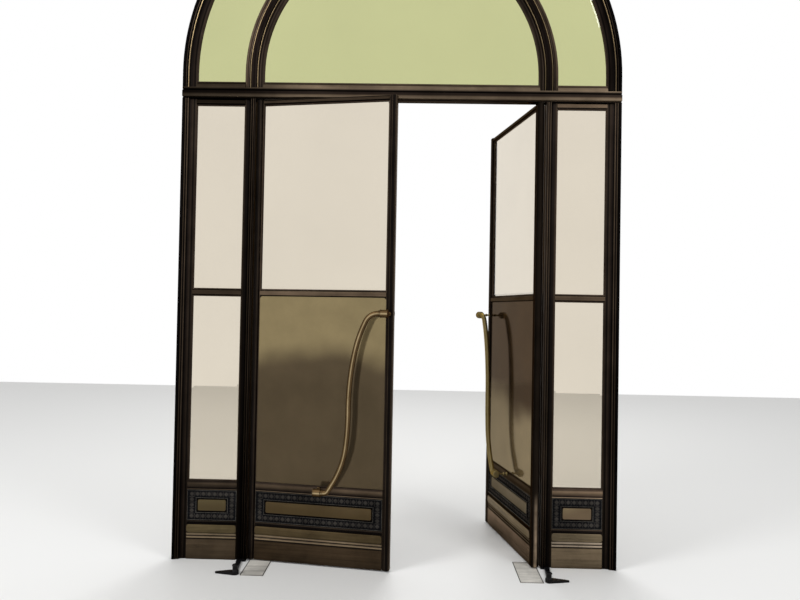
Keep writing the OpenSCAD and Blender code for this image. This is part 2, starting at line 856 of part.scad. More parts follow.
// Foot in front of the -X mullion: a pointed sole, a turned post on its heel and an arm back to the mullion
module foot_stop() {
    heel_x = -mullion_in + 10 - foot_r;
    heel_y = -half_d - foot_out;
    root_x = -mullion_in - root_in;
    post_r = foot_r - 3;
    translate([heel_x, heel_y, 0]) {
        intersection() {
            linear_extrude(foot_h)
                polygon(sole_points());
            translate([0, 2 * foot_r, 0])
                rotate([90, 0, 0])
                    linear_extrude(4 * foot_r)
                        polygon([
                            [-foot_l, 0], [foot_l, 0], [foot_l, foot_h], [-foot_r, foot_h],
                            [foot_r - foot_l, toe_h], [-foot_l, toe_h]
                        ]);
        }
        translate([0, 2, 0])
            rotate_extrude($fn = 48)
                polygon([
                    [0, foot_h - 5], [post_r, foot_h - 5], [post_r, foot_h + 4], [post_r - 3, foot_h + 7],
                    [post_r - 3, post_h - 10], [post_r, post_h - 8], [post_r, post_h - 4],
                    [post_r - 4, post_h], [0, post_h]
                ]);
    }
    linear_extrude(foot_arm_h)
        polygon([
            [heel_x - foot_arm_w / 2, heel_y], [heel_x + foot_arm_w / 2, heel_y],
            [root_x + foot_arm_w, -half_d - 8], [-mullion_in - 2, -half_d - 8], [-mullion_in - 2, -half_d],
            [root_x - foot_arm_w / 2, -half_d]
        ]);
}

// Places a sidelight's sub-part on one side
module on_left_side() {
    placed()
        children();
}

module on_right_side() {
    placed()
        mirror([1, 0, 0])
            children();
}

module left_jamb() {
    color(bronze) placed() jamb();
}

module right_jamb() {
    color(bronze) placed() mirror([1, 0, 0]) jamb();
}

module left_mullion() {
    color(dark_bronze) placed() mullion();
}

module right_mullion() {
    color(dark_bronze) placed() mirror([1, 0, 0]) mullion();
}

module transom() {
    color(bronze)
        placed()
            translate([0, 0, head_z]) {
                transom_bar();
                sill(-jamb_in, -mullion_out);
                sill(-inner_arch_r, inner_arch_r);
                sill(mullion_out, jamb_in);
                top_pin(-pivot_x);
                top_pin(pivot_x);
            }
}

module outer_arch() {
    color(bronze) placed() arch(outer_arch_points());
}

module inner_arch() {
    color(bronze) placed() arch(inner_arch_points());
}

module lunette_glass() {
    color(glass_tint) placed() lunette_pane();
}

module ring_glass() {
    color(glass_tint)
        placed() {
            ring_pane();
            mirror([1, 0, 0])
                ring_pane();
        }
}

module floor_pivots() {
    color(brass)
        placed() {
            floor_pivot();
            mirror([1, 0, 0])
                floor_pivot();
        }
}

module foot_stops() {
    color(black_iron)
        placed() {
            foot_stop();
            mirror([1, 0, 0])
                foot_stop();
        }
}

left_jamb();
right_jamb();
left_mullion();
right_mullion();
transom();
outer_arch();
inner_arch();
lunette_glass();
ring_glass();
floor_pivots();
foot_stops();

// Fixed sidelights
on_left_side() side_rails();  // left_side_rails
on_left_side() side_glass();  // left_side_glass
on_left_side() side_apron();  // left_side_apron
on_left_side() side_ornament();  // left_side_ornament
on_left_side() side_centre();  // left_side_centre
on_left_side() side_kick();  // left_side_kick
on_right_side() side_rails();  // right_side_rails
on_right_side() side_glass();  // right_side_glass
on_right_side() side_apron();  // right_side_apron
on_right_side() side_ornament();  // right_side_ornament
on_right_side() side_centre();  // right_side_centre
on_right_side() side_kick();  // right_side_kick

// Left leaf
on_left_leaf() hinge_stile();  // left_leaf_hinge_stile
on_left_leaf() free_stile();  // left_leaf_free_stile
on_left_leaf() leaf_rails();  // left_leaf_rails
on_left_leaf() leaf_glass();  // left_leaf_glass
on_left_leaf() push_plate();  // left_leaf_push_plate
on_left_leaf() leaf_apron();  // left_leaf_apron
on_left_leaf() leaf_ornament();  // left_leaf_ornament
on_left_leaf() leaf_centre();  // left_leaf_centre
on_left_leaf() leaf_kick();  // left_leaf_kick
on_left_leaf() handle();  // left_leaf_front_handle
on_left_leaf() mirror([0, 1, 0]) handle();  // left_leaf_back_handle

// Right leaf
on_right_leaf() hinge_stile();  // right_leaf_hinge_stile
on_right_leaf() free_stile();  // right_leaf_free_stile
on_right_leaf() leaf_rails();  // right_leaf_rails
on_right_leaf() leaf_glass();  // right_leaf_glass
on_right_leaf() push_plate();  // right_leaf_push_plate
on_right_leaf() leaf_apron();  // right_leaf_apron
on_right_leaf() leaf_ornament();  // right_leaf_ornament
on_right_leaf() leaf_centre();  // right_leaf_centre
on_right_leaf() leaf_kick();  // right_leaf_kick
on_right_leaf() handle();  // right_leaf_front_handle
on_right_leaf() mirror([0, 1, 0]) handle();  // right_leaf_back_handle
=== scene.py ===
# Arched bronze entrance screen with a pair of glazed swing doors, dressed for the render.
import json
import math

import bpy
from mathutils import Matrix, Vector


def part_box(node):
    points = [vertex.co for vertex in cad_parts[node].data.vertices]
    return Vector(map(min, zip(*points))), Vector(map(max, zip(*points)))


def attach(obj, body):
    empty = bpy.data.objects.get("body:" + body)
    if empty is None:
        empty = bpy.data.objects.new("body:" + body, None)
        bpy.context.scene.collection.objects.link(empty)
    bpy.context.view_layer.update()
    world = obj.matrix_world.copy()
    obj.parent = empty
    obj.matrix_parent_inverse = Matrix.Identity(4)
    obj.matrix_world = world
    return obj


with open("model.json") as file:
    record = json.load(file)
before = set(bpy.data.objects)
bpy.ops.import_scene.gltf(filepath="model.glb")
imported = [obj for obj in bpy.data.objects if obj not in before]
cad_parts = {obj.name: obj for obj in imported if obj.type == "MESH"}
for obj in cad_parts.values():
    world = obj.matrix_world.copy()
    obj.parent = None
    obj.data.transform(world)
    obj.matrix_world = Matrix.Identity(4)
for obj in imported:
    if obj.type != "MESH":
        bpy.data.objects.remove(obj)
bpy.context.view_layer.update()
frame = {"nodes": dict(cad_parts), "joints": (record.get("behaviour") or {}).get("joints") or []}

# Camera: the photo's place and lens, solved from the screen's straight edges, four metres from the doors.
# It was held by hand at eye height, so it is turned, tipped and rolled by about one degree each.
scene = bpy.context.scene
scene.view_settings.view_transform = "Standard"
lens_spot = (1.4294, -4.0961, 1.5644)
yaw, pitch, roll = 0.0194, 0.0178, 0.0182
upright = Vector((0, 0, 1))
ahead = Vector((-math.sin(yaw), math.cos(yaw), 0))
sideways = Vector((math.cos(yaw), math.sin(yaw), 0))
look = ahead * math.cos(pitch) + upright * math.sin(pitch)
over = upright * math.cos(pitch) - ahead * math.sin(pitch)
lens_right = sideways * math.cos(roll) + over * math.sin(roll)
lens_up = over * math.cos(roll) - sideways * math.sin(roll)
camera = bpy.data.objects.new("camera", bpy.data.cameras.new("camera"))
camera.data.lens = 29.40
camera.data.sensor_width = 36
camera.data.clip_end = 60
turned = Matrix((lens_right, lens_up, -look)).transposed().to_4x4()
camera.matrix_world = Matrix.Translation(lens_spot) @ turned
scene.collection.objects.link(camera)
scene.camera = camera

# Lamps: two large soft boxes high in front, a third one behind, and an even pale sky.
# The sky is full white to the camera, in the metal and through the glass, and lights the screen less.
sky_light = 0.62


def soft_box(name, place, aim, width, height, watts):
    """A rectangular lamp at a place, turned to its aim, that the camera doesn't see."""
    lamp = bpy.data.lights.new(name, "AREA")
    lamp.shape = "RECTANGLE"
    lamp.size = width
    lamp.size_y = height
    lamp.energy = watts
    holder = bpy.data.objects.new(name, lamp)
    holder.location = place
    holder.rotation_euler = (Vector(aim) - Vector(place)).to_track_quat("-Z", "Y").to_euler()
    holder.visible_camera = False
    holder.visible_transmission = False
    scene.collection.objects.link(holder)


soft_box("key_left", (-4.8, -4.4, 7.8), aim=(1.3, 0, 1.8), width=2.8, height=2.8, watts=330)
soft_box("fill_right", (5.4, -4.0, 7.0), aim=(1.4, 0, 1.6), width=2.2, height=2.2, watts=140)
soft_box("back_light", (1.6, 5.0, 7.6), aim=(1.3, 0, 1.8), width=2.6, height=1.8, watts=170)


def add(tree, kind, feeds=None, **settings):
    """A shader node with its settings; feeds gives values or links for its sockets."""
    made = tree.nodes.new("ShaderNode" + kind)
    for key, value in settings.items():
        setattr(made, key, value)
    for key, value in (feeds or {}).items():
        if isinstance(value, bpy.types.NodeSocket):
            tree.links.new(value, made.inputs[key])
        else:
            made.inputs[key].default_value = value
    return made


def maths(tree, operation, first, second=0.0):
    """One sum, product or the like of two values or links."""
    return add(tree, "Math", {0: first, 1: second}, operation=operation).outputs[0]


world = bpy.data.worlds.new("studio")
world.use_nodes = True
scene.world = world
sky = world.node_tree
sky.nodes.clear()
rays = add(sky, "LightPath").outputs
seen = maths(sky, "MAXIMUM", rays["Is Camera Ray"], rays["Is Transmission Ray"])
seen = maths(sky, "MAXIMUM", seen, rays["Is Glossy Ray"])
sky_level = add(sky, "MapRange", {"Value": seen, "To Min": sky_light, "To Max": 1.0}).outputs[0]
backdrop = add(sky, "Background", {"Color": (1, 1, 1, 1), "Strength": sky_level})
add(sky, "OutputWorld", {"Surface": backdrop.outputs[0]})

# Floor: a plain pale studio floor, half a millimetre below the screen's feet.
# It only takes the shadows and isn't part of the screen.
floor_drop = 0.0005
floor_corners = [(-9, -9, 0), (12, -9, 0), (12, 9, 0), (-9, 9, 0)]
floor_mesh = bpy.data.meshes.new("floor")
floor_mesh.from_pydata(floor_corners, [], [(0, 1, 2, 3)])
floor = bpy.data.objects.new("floor", floor_mesh)
floor.location.z = -floor_drop
scene.collection.objects.link(floor)
floor_paint = bpy.data.materials.new("pale floor")
floor_paint.use_nodes = True
floor_shader = floor_paint.node_tree.nodes["Principled BSDF"]
floor_shader.inputs["Base Color"].default_value = (0.80, 0.80, 0.79, 1)
floor_shader.inputs["Roughness"].default_value = 0.55
floor_mesh.materials.append(floor_paint)

# Outer frame: two jambs and the outer arch over them, one bronze moulding with two thin beads.
# Drawn bronze sections, patinated brown; hands and cleaning have worn the beads and the sight edge, and the
# beads' tones also hold painted highlights.
# The lunette is half a circle on two straight feet, so its top less its radius is the springing.
lunette_low, lunette_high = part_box("lunette_glass")
centre_x = (lunette_low.x + lunette_high.x) / 2
spring_z = lunette_high.z - (lunette_high.x - lunette_low.x) / 2
jamb_sight = centre_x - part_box("left_jamb")[1].x
section_arris = 0.0008

# The bronze's tones as they look, 0 to 255, from the dirt and painted shade in a groove to the bare metal
# and painted highlight of a bead.
# A moulding's tones lie across its section, each at its millimetres from the sight edge.
soot_and_shade = (12, 10, 10)
black = (18, 15, 14)
deep = (25, 21, 19)
dim = (32, 27, 24)
brown = (42, 34, 29)
flat = (55, 46, 38)
light = (65, 55, 46)
rubbed_and_lit = (78, 66, 53)
worn_and_lit = (95, 80, 65)
pale = (107, 93, 77)
bright = (120, 104, 86)
bare_and_lit = (150, 130, 96)


def scaled(colour, by):
    """A colour made lighter or darker by a factor."""
    return tuple(part * by for part in colour)


def tone(red, green, blue):
    """A colour as it looks, 0 to 255, turned into the shader's own scale."""
    parts = scaled((red, green, blue), 1 / 255)
    return tuple(c / 12.92 if c <= 0.04045 else ((c + 0.055) / 1.055) ** 2.4 for c in parts) + (1.0,)


def new_skin(name):
    """A new finish and its node tree."""
    mat = bpy.data.materials.new(name)
    mat.use_nodes = True
    return mat, mat.node_tree


def blend_colours(tree, share, first, second, kind="MIX"):
    """Two colours mixed by a share, or multiplied."""
    made = add(tree, "Mix", {0: share, 6: first, 7: second}, data_type="RGBA", blend_type=kind)
    return made.outputs[2]


def grey_of(tree, strength):
    """A grey of the given strength."""
    return add(tree, "CombineColor", {0: strength, 1: strength, 2: strength}).outputs[0]


def along_axis(tree, axis):
    """The screen's own X, Y or Z, in metres."""
    return add(tree, "SeparateXYZ", {0: add(tree, "TexCoord").outputs["Object"]}).outputs[axis]


def from_edge(edge, stops):
    """Stops measured in millimetres from an edge, as places in metres."""
    return [(edge + mm / 1000, colour) for mm, colour in stops]


def bands(tree, place, stops):
    """Colours along a length; stops are (place, colour), and the two ends hold their colour."""
    start, end = stops[0][0], stops[-1][0]
    share = add(tree, "MapRange", {"Value": place, "From Min": start, "From Max": end}).outputs[0]
    ramp = add(tree, "ValToRGB", {"Fac": share})
    while len(ramp.color_ramp.elements) < len(stops):
        ramp.color_ramp.elements.new(1.0)
    for element, (where, colour) in zip(ramp.color_ramp.elements, stops):
        element.position = (where - start) / (end - start)
        element.color = tone(*colour)
    return ramp.outputs["Color"]


def shaded(tree, colour, levels, axis="Z"):
    """The colour darkened along an axis as painted shade; levels are (place, share of 255 that is left of
    the colour).
    """
    shade = bands(tree, along_axis(tree, axis), [(spot, (level, level, level)) for spot, level in levels])
    return blend_colours(tree, 1.0, colour, shade, "MULTIPLY")


def from_middle(tree, in_arch=True):
    """Distance from the screen's middle line, which turns into the arch's radius above its springing."""
    side = maths(tree, "SUBTRACT", along_axis(tree, "X"), centre_x)
    if not in_arch:
        return maths(tree, "ABSOLUTE", side)
    rise = maths(tree, "MAXIMUM", maths(tree, "SUBTRACT", along_axis(tree, "Z"), spring_z), 0.0)
    squares = maths(tree, "ADD", maths(tree, "MULTIPLY", side, side), maths(tree, "MULTIPLY", rise, rise))
    return maths(tree, "SQRT", squares)


def patina(mat, colour, coat=0.36, streak=(55, 55, 1.6), metal=1.0, grazing=(190, 184, 178)):
    """Bronze skin over a colour: cloudy tone, drawn streaks, small dents and an uneven shine.
    coat is the mean roughness, and streak is how close the streaks lie along X, Y and Z."""
    tree = mat.node_tree
    shader = tree.nodes["Principled BSDF"]
    spot = add(tree, "TexCoord").outputs["Object"]
    clouds = add(tree, "TexNoise", {"Vector": spot, "Scale": 3.2, "Detail": 6.0, "Roughness": 0.62})
    drawn = add(tree, "Mapping", {"Vector": spot, "Scale": streak})
    streaks = add(tree, "TexNoise", {"Vector": drawn.outputs[0], "Scale": 1.0, "Detail": 4.0})
    grain = add(tree, "TexNoise", {"Vector": spot, "Scale": 260.0, "Detail": 3.0})
    tint = add(tree, "MapRange", {"Value": clouds.outputs["Fac"], "From Min": 0.3, "From Max": 0.7,
                                  "To Min": 0.62, "To Max": 1.35}).outputs[0]
    line = add(tree, "MapRange", {"Value": streaks.outputs["Fac"], "From Min": 0.3, "From Max": 0.7,
                                  "To Min": 0.78, "To Max": 1.22}).outputs[0]
    grey = grey_of(tree, maths(tree, "MULTIPLY", tint, line))
    tree.links.new(blend_colours(tree, 1.0, colour, grey, "MULTIPLY"), shader.inputs["Base Color"])
    shader.inputs["Metallic"].default_value = metal
    shader.inputs["Specular Tint"].default_value = tone(*grazing)
    shine = maths(tree, "MULTIPLY", streaks.outputs["Fac"], 0.16)
    shine = maths(tree, "ADD", shine, maths(tree, "MULTIPLY", clouds.outputs["Fac"], 0.14))
    shine = maths(tree, "ADD", shine, coat - 0.15)
    tree.links.new(shine, shader.inputs["Roughness"])
    relief = maths(tree, "ADD", maths(tree, "MULTIPLY", grain.outputs["Fac"], 0.5), streaks.outputs["Fac"])
    bump = add(tree, "Bump", {"Height": relief, "Strength": 0.5, "Distance": 0.00012})
    tree.links.new(bump.outputs[0], shader.inputs["Normal"])


def dress(node_name, mat, arris=0.0):
    """Gives a CAD node its finish, and eases its sharp edges by a small arris."""
    piece = frame["nodes"][node_name]
    piece.data.materials.clear()
    piece.data.materials.append(mat)
    if arris:
        piece.modifiers.new("weld", "WELD").merge_threshold = 0.00001
        eased = piece.modifiers.new("arris", "BEVEL")
        eased.width = arris
        eased.segments = 2
        eased.limit_method = "ANGLE"
        eased.angle_limit = math.radians(40)


jamb_tones = [
    (-2, brown), (3.5, flat), (10, dim), (14.5, black), (22, flat), (30, brown), (39, deep), (43, soot_and_shade),
    (46.2, flat), (49.5, worn_and_lit), (52.5, brown), (55.5, soot_and_shade), (60, brown), (63.5, rubbed_and_lit), (67, dim),
    (69.2, soot_and_shade), (85, black)]
# The jambs darken towards the foot: painted shade by height.
jamb_painted_shade = [(0.0, 158), (0.6, 185), (1.8, 228), (2.5, 242), (2.9, 255)]
jamb_bronze, tree = new_skin("jamb bronze")
jamb_colour = bands(tree, from_middle(tree, in_arch=False), from_edge(jamb_sight, jamb_tones))
patina(jamb_bronze, shaded(tree, jamb_colour, jamb_painted_shade))
for name in ("left_jamb", "right_jamb"):
    dress(name, jamb_bronze, section_arris)

arch_tones = [
    (-2, brown), (3.5, flat), (10, deep), (14.5, soot_and_shade), (22, brown), (30, dim), (39, black), (43, soot_and_shade),
    (46.5, rubbed_and_lit), (49.5, scaled(bare_and_lit, 1.13)), (52, flat), (55.5, soot_and_shade), (60, deep), (63.5, flat),
    (67, black), (69.2, soot_and_shade), (85, soot_and_shade)]
# The arch darkens from left to right: painted shade across it.
arch_painted_shade = [(-0.05, 240), (0.6, 224), (2.1, 196), (2.7, 180)]
arch_bronze, tree = new_skin("outer arch bronze")
arch_colour = bands(tree, from_middle(tree), from_edge(jamb_sight, arch_tones))
patina(arch_bronze, shaded(tree, arch_colour, arch_painted_shade, "X"))
dress("outer_arch", arch_bronze)

# Mullions: the two posts that carry the leaves, the same moulding in a narrower and darker section.
# Their door side is hollowed for the heels; only the thin beads and the edges show brown.
door_side = centre_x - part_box("left_mullion")[1].x
mullion_tones = [
    (-2, deep), (2, flat), (8, black), (11.5, light), (14.5, worn_and_lit), (18, dim), (23, soot_and_shade), (26.5, flat),
    (28.5, rubbed_and_lit), (32.5, deep), (38, soot_and_shade), (50, dim), (57, dim), (66, flat), (70, rubbed_and_lit)]
# Painted shade by height, darkest at the foot and deeper on the left mullion than on the right.
mullion_painted_shade = {"left": [(0.0, 104), (0.8, 130), (1.9, 168), (2.9, 214)],
                "right": [(0.0, 162), (0.8, 206), (1.9, 242), (2.9, 255)]}
for side, painted_shade_levels in mullion_painted_shade.items():
    mullion_bronze, tree = new_skin(side + " mullion bronze")
    mullion_colour = bands(tree, from_middle(tree, in_arch=False), from_edge(door_side, mullion_tones))
    patina(mullion_bronze, shaded(tree, mullion_colour, painted_shade_levels), coat=0.34)
    dress(side + "_mullion", mullion_bronze, section_arris)

# Transom: one bar across the whole screen, with a banded face and a sloped sill on top.
# Cast bronze over a steel core, let down on the jambs' tops; the sill and the band carry painted highlights.
jamb_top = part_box("left_jamb")[1].z
transom_tones = [
    (-37, light), (0, black), (4.5, soot_and_shade), (7, rubbed_and_lit), (9.5, bright), (20, pale), (25.5, worn_and_lit),
    (30.5, flat), (36, brown), (46, brown), (49.5, black), (56, soot_and_shade), (60.5, flat), (66, pale),
    (74, scaled(bright, 1.1)), (83, bright), (91.5, bright), (96, flat), (100, brown), (103.5, rubbed_and_lit),
    (107, worn_and_lit)]
# Painted shade across the bar, darkest over the left sidelight.
transom_painted_shade = [(-0.05, 108), (0.35, 130), (0.62, 230), (2.70, 238)]
transom_bronze, tree = new_skin("transom bronze")
transom_colour = bands(tree, along_axis(tree, "Z"), from_edge(jamb_top, transom_tones))
patina(transom_bronze, shaded(tree, transom_colour, transom_painted_shade, "X"), streak=(1.6, 55, 55))
dress("transom", transom_bronze, section_arris)

# Inner arch: a broad moulding over the doorway and the mullions, beaded on both sides of a flat.
# Bent from drawn bronze; it holds the lunette on one edge and the ring panes on the other.
glass_bite = 0.008
lunette_r = (lunette_high.x - lunette_low.x) / 2 - glass_bite
inner_tones = [
    (0, light), (7, flat), (13.5, dim), (20, light), (28, deep), (31, rubbed_and_lit), (34, bare_and_lit), (37.5, brown),
    (40, soot_and_shade), (43, brown), (56, deep), (69.5, brown), (73, soot_and_shade), (75, rubbed_and_lit), (78, bare_and_lit), (81, flat),
    (84, black), (92, light), (99, brown), (106, worn_and_lit), (112, pale)]
# The inner arch darkens from left to right: painted shade across it.
inner_painted_shade = [(0.35, 232), (1.3, 222), (2.0, 178), (2.4, 168)]
inner_bronze, tree = new_skin("inner arch bronze")
inner_colour = bands(tree, from_middle(tree), from_edge(lunette_r, inner_tones))
patina(inner_bronze, shaded(tree, inner_colour, inner_painted_shade, "X"))
dress("inner_arch", inner_bronze)

# Fanlight: a half-round lunette and two curved ring panes of thick plate glass with a ground bevel.
# The glass is clear with a yellow-green cast, and sits 8 mm deep in the arches' grooves.


def plate_glass(name, tint):
    """Polished plate glass, slightly uneven as drawn glass is."""
    mat, tree = new_skin(name)
    shader = tree.nodes["Principled BSDF"]
    spot = add(tree, "TexCoord").outputs["Object"]
    clouds = add(tree, "TexNoise", {"Vector": spot, "Scale": 1.3, "Detail": 3.0})
    body = blend_colours(tree, clouds.outputs["Fac"], tone(*tint), tone(*scaled(tint, 0.94)))
    tree.links.new(body, shader.inputs["Base Color"])
    shader.inputs["Transmission Weight"].default_value = 1.0
    shader.inputs["IOR"].default_value = 1.5
    shader.inputs["Roughness"].default_value = 0.0
    wave = add(tree, "TexNoise", {"Vector": spot, "Scale": 2.6, "Detail": 2.0})
    bump = add(tree, "Bump", {"Height": wave.outputs["Fac"], "Strength": 0.35, "Distance": 0.0012})
    tree.links.new(bump.outputs[0], shader.inputs["Normal"])
    return mat


fan_glass = plate_glass("fanlight glass", tint=(200, 202, 146))
dress("lunette_glass", fan_glass)
dress("ring_glass", fan_glass)

# Side and door glass: the two panes of each sidelight and the upper pane of each leaf.
# Plate glass with a ground bevel and a faint warm cast, set in grooves of the rails and stiles.
door_glass = plate_glass("door glass", tint=(226, 216, 198))
for name in ("left_side_glass", "right_side_glass", "left_leaf_glass", "right_leaf_glass"):
    dress(name, door_glass)

# Glazing beads: quarter-round bronze beads, mitred at the corners, that hold every pane on both faces.
# They are pressed in place after the glass, and are of one even brown tone.
# A pane's sight edges are its own edges, less what its groove hides.
bead_w = 0.0058
bead_foot, bead_heel, round_from, bead_top = 0.0033, 0.0042, 0.0052, 0.0104
close_fit = 0.0001
arc_step = 3


def plain_patina(name, colour, **settings):
    """A patinated finish of one tone."""
    mat, tree = new_skin(name)
    patina(mat, tone(*colour), **settings)
    return mat


def leaf_place(side):
    """Where a leaf stands: its pivot, its open angle, and for the right leaf the mirrored build."""
    swing = next(joint for joint in frame["joints"] if joint["child"] == side + "_leaf")
    open_angle = math.radians(-sum(swing["range_deg"]) / 2)
    place = Matrix.Translation(swing["pos_m"]) @ Matrix.Rotation(open_angle, 4, "Z")
    return place if side == "left" else place @ Matrix.Diagonal((-1, 1, 1, 1))


def side_place(side):
    """Where a half of the frame stands, drawn from the screen's middle line and mirrored on the right."""
    place = Matrix.Translation((centre_x, 0, 0))
    return place if side == "left" else place @ Matrix.Diagonal((-1, 1, 1, 1))


def own_box(node_name, place):
    """Lowest and highest corner of a node, in the drawing that place sets in the screen."""
    back = place.inverted()
    spots = [back @ corner.co for corner in frame["nodes"][node_name].data.vertices]
    return [Vector([pick(spot[axis] for spot in spots) for axis in range(3)]) for pick in (min, max)]


def mesh_piece(name, shape, mat, body, place):
    """A new piece drawn in a leaf's or a sidelight's own coordinates, set in place on its body."""
    verts, faces = shape
    if place.determinant() < 0:
        faces = [tuple(reversed(face)) for face in faces]
    mesh = bpy.data.meshes.new(name)
    mesh.from_pydata([tuple(place @ Vector(spot)) for spot in verts], [], faces)
    mesh.materials.append(mat)
    mesh.validate()
    piece = bpy.data.objects.new(name, mesh)
    scene.collection.objects.link(piece)
    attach(piece, body)


def glazing_bead(path):
    """Bead round a pane, on both faces; path gives (across, up, inwards across, inwards up)."""
    quarter = [math.radians(a) for a in (18, 36, 54, 72)]
    section = [(close_fit, bead_foot), (bead_w, bead_heel), (bead_w, round_from)]
    for a in quarter:
        section.append((bead_w * math.cos(a) ** 0.8, round_from + (bead_top - round_from) * math.sin(a)))
    section.append((close_fit, bead_top))
    verts, faces = [], []
    count, ring = len(path), len(section)
    for face in (-1, 1):
        first = len(verts)
        for x, z, in_x, in_z in path:
            verts += [(x + in_x * off, face * depth, z + in_z * off) for off, depth in section]
        for i in range(count):
            here, there = first + i * ring, first + (i + 1) % count * ring
            for k in range(ring):
                n = (k + 1) % ring
                quad = (here + k, here + n, there + n, there + k)
                faces.append(quad if face < 0 else quad[::-1])
    return verts, faces


def pane_loop(x0, x1, z0, z1):
    """The four corners of a square pane."""
    return [(x0, z0, 1, 1), (x1, z0, -1, 1), (x1, z1, -1, -1), (x0, z1, 1, -1)]


def arch_loop(radius, inward, backwards=False):
    """Half a circle over the springing, from right to left unless backwards."""
    spots = []
    for degrees in range(0, 181, arc_step):
        ca, sa = math.cos(math.radians(degrees)), math.sin(math.radians(degrees))
        spots.append((radius * ca, spring_z + radius * sa, inward * ca, inward * sa))
    return spots[::-1] if backwards else spots


side_low, side_high = own_box("left_side_glass", side_place("left"))
leaf_low, leaf_high = own_box("left_leaf_glass", leaf_place("left"))
side_x0, side_x1 = side_low.x + glass_bite, side_high.x - glass_bite
leaf_x0, leaf_x1 = leaf_low.x + glass_bite, leaf_high.x - glass_bite
apron_top = side_low.z + glass_bite
mid_rail_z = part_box("left_side_rails")[0].z
upper_z = leaf_low.z + glass_bite
sill_z = lunette_low.z + glass_bite

bead_bronze = plain_patina("glazing bead bronze", (58, 48, 40), coat=0.34, streak=(12, 12, 12))
for side in ("left", "right"):
    for part, z0, z1 in (("upper", upper_z, side_high.z - glass_bite), ("lower", apron_top, mid_rail_z)):
        name = side + "_side_" + part + "_beads"
        beads = glazing_bead(pane_loop(side_x0, side_x1, z0, z1))
        mesh_piece(name, beads, bead_bronze, "frame", side_place(side))
    beads = glazing_bead(pane_loop(leaf_x0, leaf_x1, upper_z, leaf_high.z - glass_bite))
    mesh_piece(side + "_leaf_beads", beads, bead_bronze, side + "_leaf", leaf_place(side))

lunette_path = [(-lunette_r, sill_z, 1, 1), (lunette_r, sill_z, -1, 1)] + arch_loop(lunette_r, -1)
mesh_piece("lunette_beads", glazing_bead(lunette_path), bead_bronze, "frame", side_place("left"))
ring_path = [(side_x0, sill_z, 1, 1), (side_x1, sill_z, -1, 1)] + arch_loop(-side_x1, 1, backwards=True)
ring_path += [(-side_x1, sill_z, 1, 1), (-side_x0, sill_z, -1, 1)] + arch_loop(-side_x0, -1)
mesh_piece("ring_beads", glazing_bead(ring_path), bead_bronze, "frame", side_place("left"))

# Rails of the sidelights and the leaves: drawn bronze bars with a chamfer along both edges.
# The flat face is lighter than the chamfers, and each bay's mid and head rails are darkened by a painted
# shade of their own.
rail_arris = 0.0007
rail_tones = [(12, flat), (13.5, dim), (16.5, deep), (19, flat), (19.6, bright), (20, worn_and_lit)]


def own_axis(tree, place, row):
    """A coordinate of a leaf's or a sidelight's own drawing: row 0 is across, 1 is through and 2 is up."""
    back = place.inverted()[row]
    spot = add(tree, "TexCoord").outputs["Object"]
    dot = add(tree, "VectorMath", {0: spot, 1: tuple(back[:3])}, operation="DOT_PRODUCT")
    return maths(tree, "ADD", dot.outputs["Value"], back[3])


def rail_bronze(name, place, mid, head):
    """Bronze of one bay's rails; mid and head are how much of 255 is left of the two rails' colour, as
    painted shade.
    """
    mat, tree = new_skin(name)
    from_plane = maths(tree, "ABSOLUTE", own_axis(tree, place, 1))
    face = bands(tree, from_plane, from_edge(0.0, rail_tones))
    face = shaded(tree, face, [(1.6, mid), (1.8, mid), (2.7, head), (2.9, head)])
    patina(mat, face, streak=(2.0, 2.0, 70))
    return mat


# Each bay's painted shade on its mid rail and its head rail.
for side, mid, head in (("left", 158, 84), ("right", 212, 255)):
    side_rails = rail_bronze(side + " side rail bronze", side_place(side), mid, head)
    dress(side + "_side_rails", side_rails, rail_arris)
for side, mid, head in (("left", 255, 150), ("right", 170, 130)):
    leaf_rails = rail_bronze(side + " leaf rail bronze", leaf_place(side), mid, head)
    dress(side + "_leaf_rails", leaf_rails, rail_arris)

# Stiles of the leaves: near-black drawn bronze, grooved near both edges of the face.
# The hinge stile ends in a round heel about the pivot; near the foot the heel's back carries a painted
# highlight.
heel_tones = [
    (-40, flat), (-33, deep), (-29, light), (-26.5, black), (-20, deep), (-9, dim), (-6, rubbed_and_lit),
    (-3.5, deep), (2, brown), (6, deep), (11, worn_and_lit)]
free_tones = [
    (818, rubbed_and_lit), (824, deep), (828, brown), (835, deep), (837.5, rubbed_and_lit), (840, deep), (850, deep),
    (857, deep), (859, rubbed_and_lit), (862.5, deep), (864, brown), (867, worn_and_lit)]
heel_highlight_tone = (158, 138, 116)


def faded(tree, value, none, full):
    """Nothing where the value is at none, all where it is at full, and a share in between."""
    return add(tree, "MapRange", {"Value": value, "From Min": none, "From Max": full}).outputs[0]


def stile_bronze(name, place, tones, painted_shade_levels, heel_highlight=0.0):
    """Bronze of a stile, with tones in millimetres from the pivot and painted shade along its height; the
    last argument is the strength of a painted highlight on the heel's back near the foot.
    """
    mat, tree = new_skin(name)
    skin = shaded(tree, bands(tree, own_axis(tree, place, 0), from_edge(0.0, tones)), painted_shade_levels)
    if heel_highlight:
        off_middle = maths(tree, "ABSOLUTE", own_axis(tree, place, 1))
        back = faded(tree, own_axis(tree, place, 0), none=-0.020, full=-0.034)
        back = maths(tree, "MULTIPLY", back, faded(tree, off_middle, none=0.014, full=0.004))
        low = faded(tree, own_axis(tree, place, 2), none=0.46, full=0.16)
        foot = maths(tree, "MULTIPLY", back, low)
        highlight_noise = add(tree, "TexNoise", {"Vector": add(tree, "TexCoord").outputs["Object"], "Scale": 22.0})
        share = maths(tree, "MULTIPLY", foot, maths(tree, "MULTIPLY", highlight_noise.outputs["Fac"], 2 * heel_highlight))
        skin = blend_colours(tree, share, skin, tone(*heel_highlight_tone))
    patina(mat, skin, coat=0.34)
    return mat


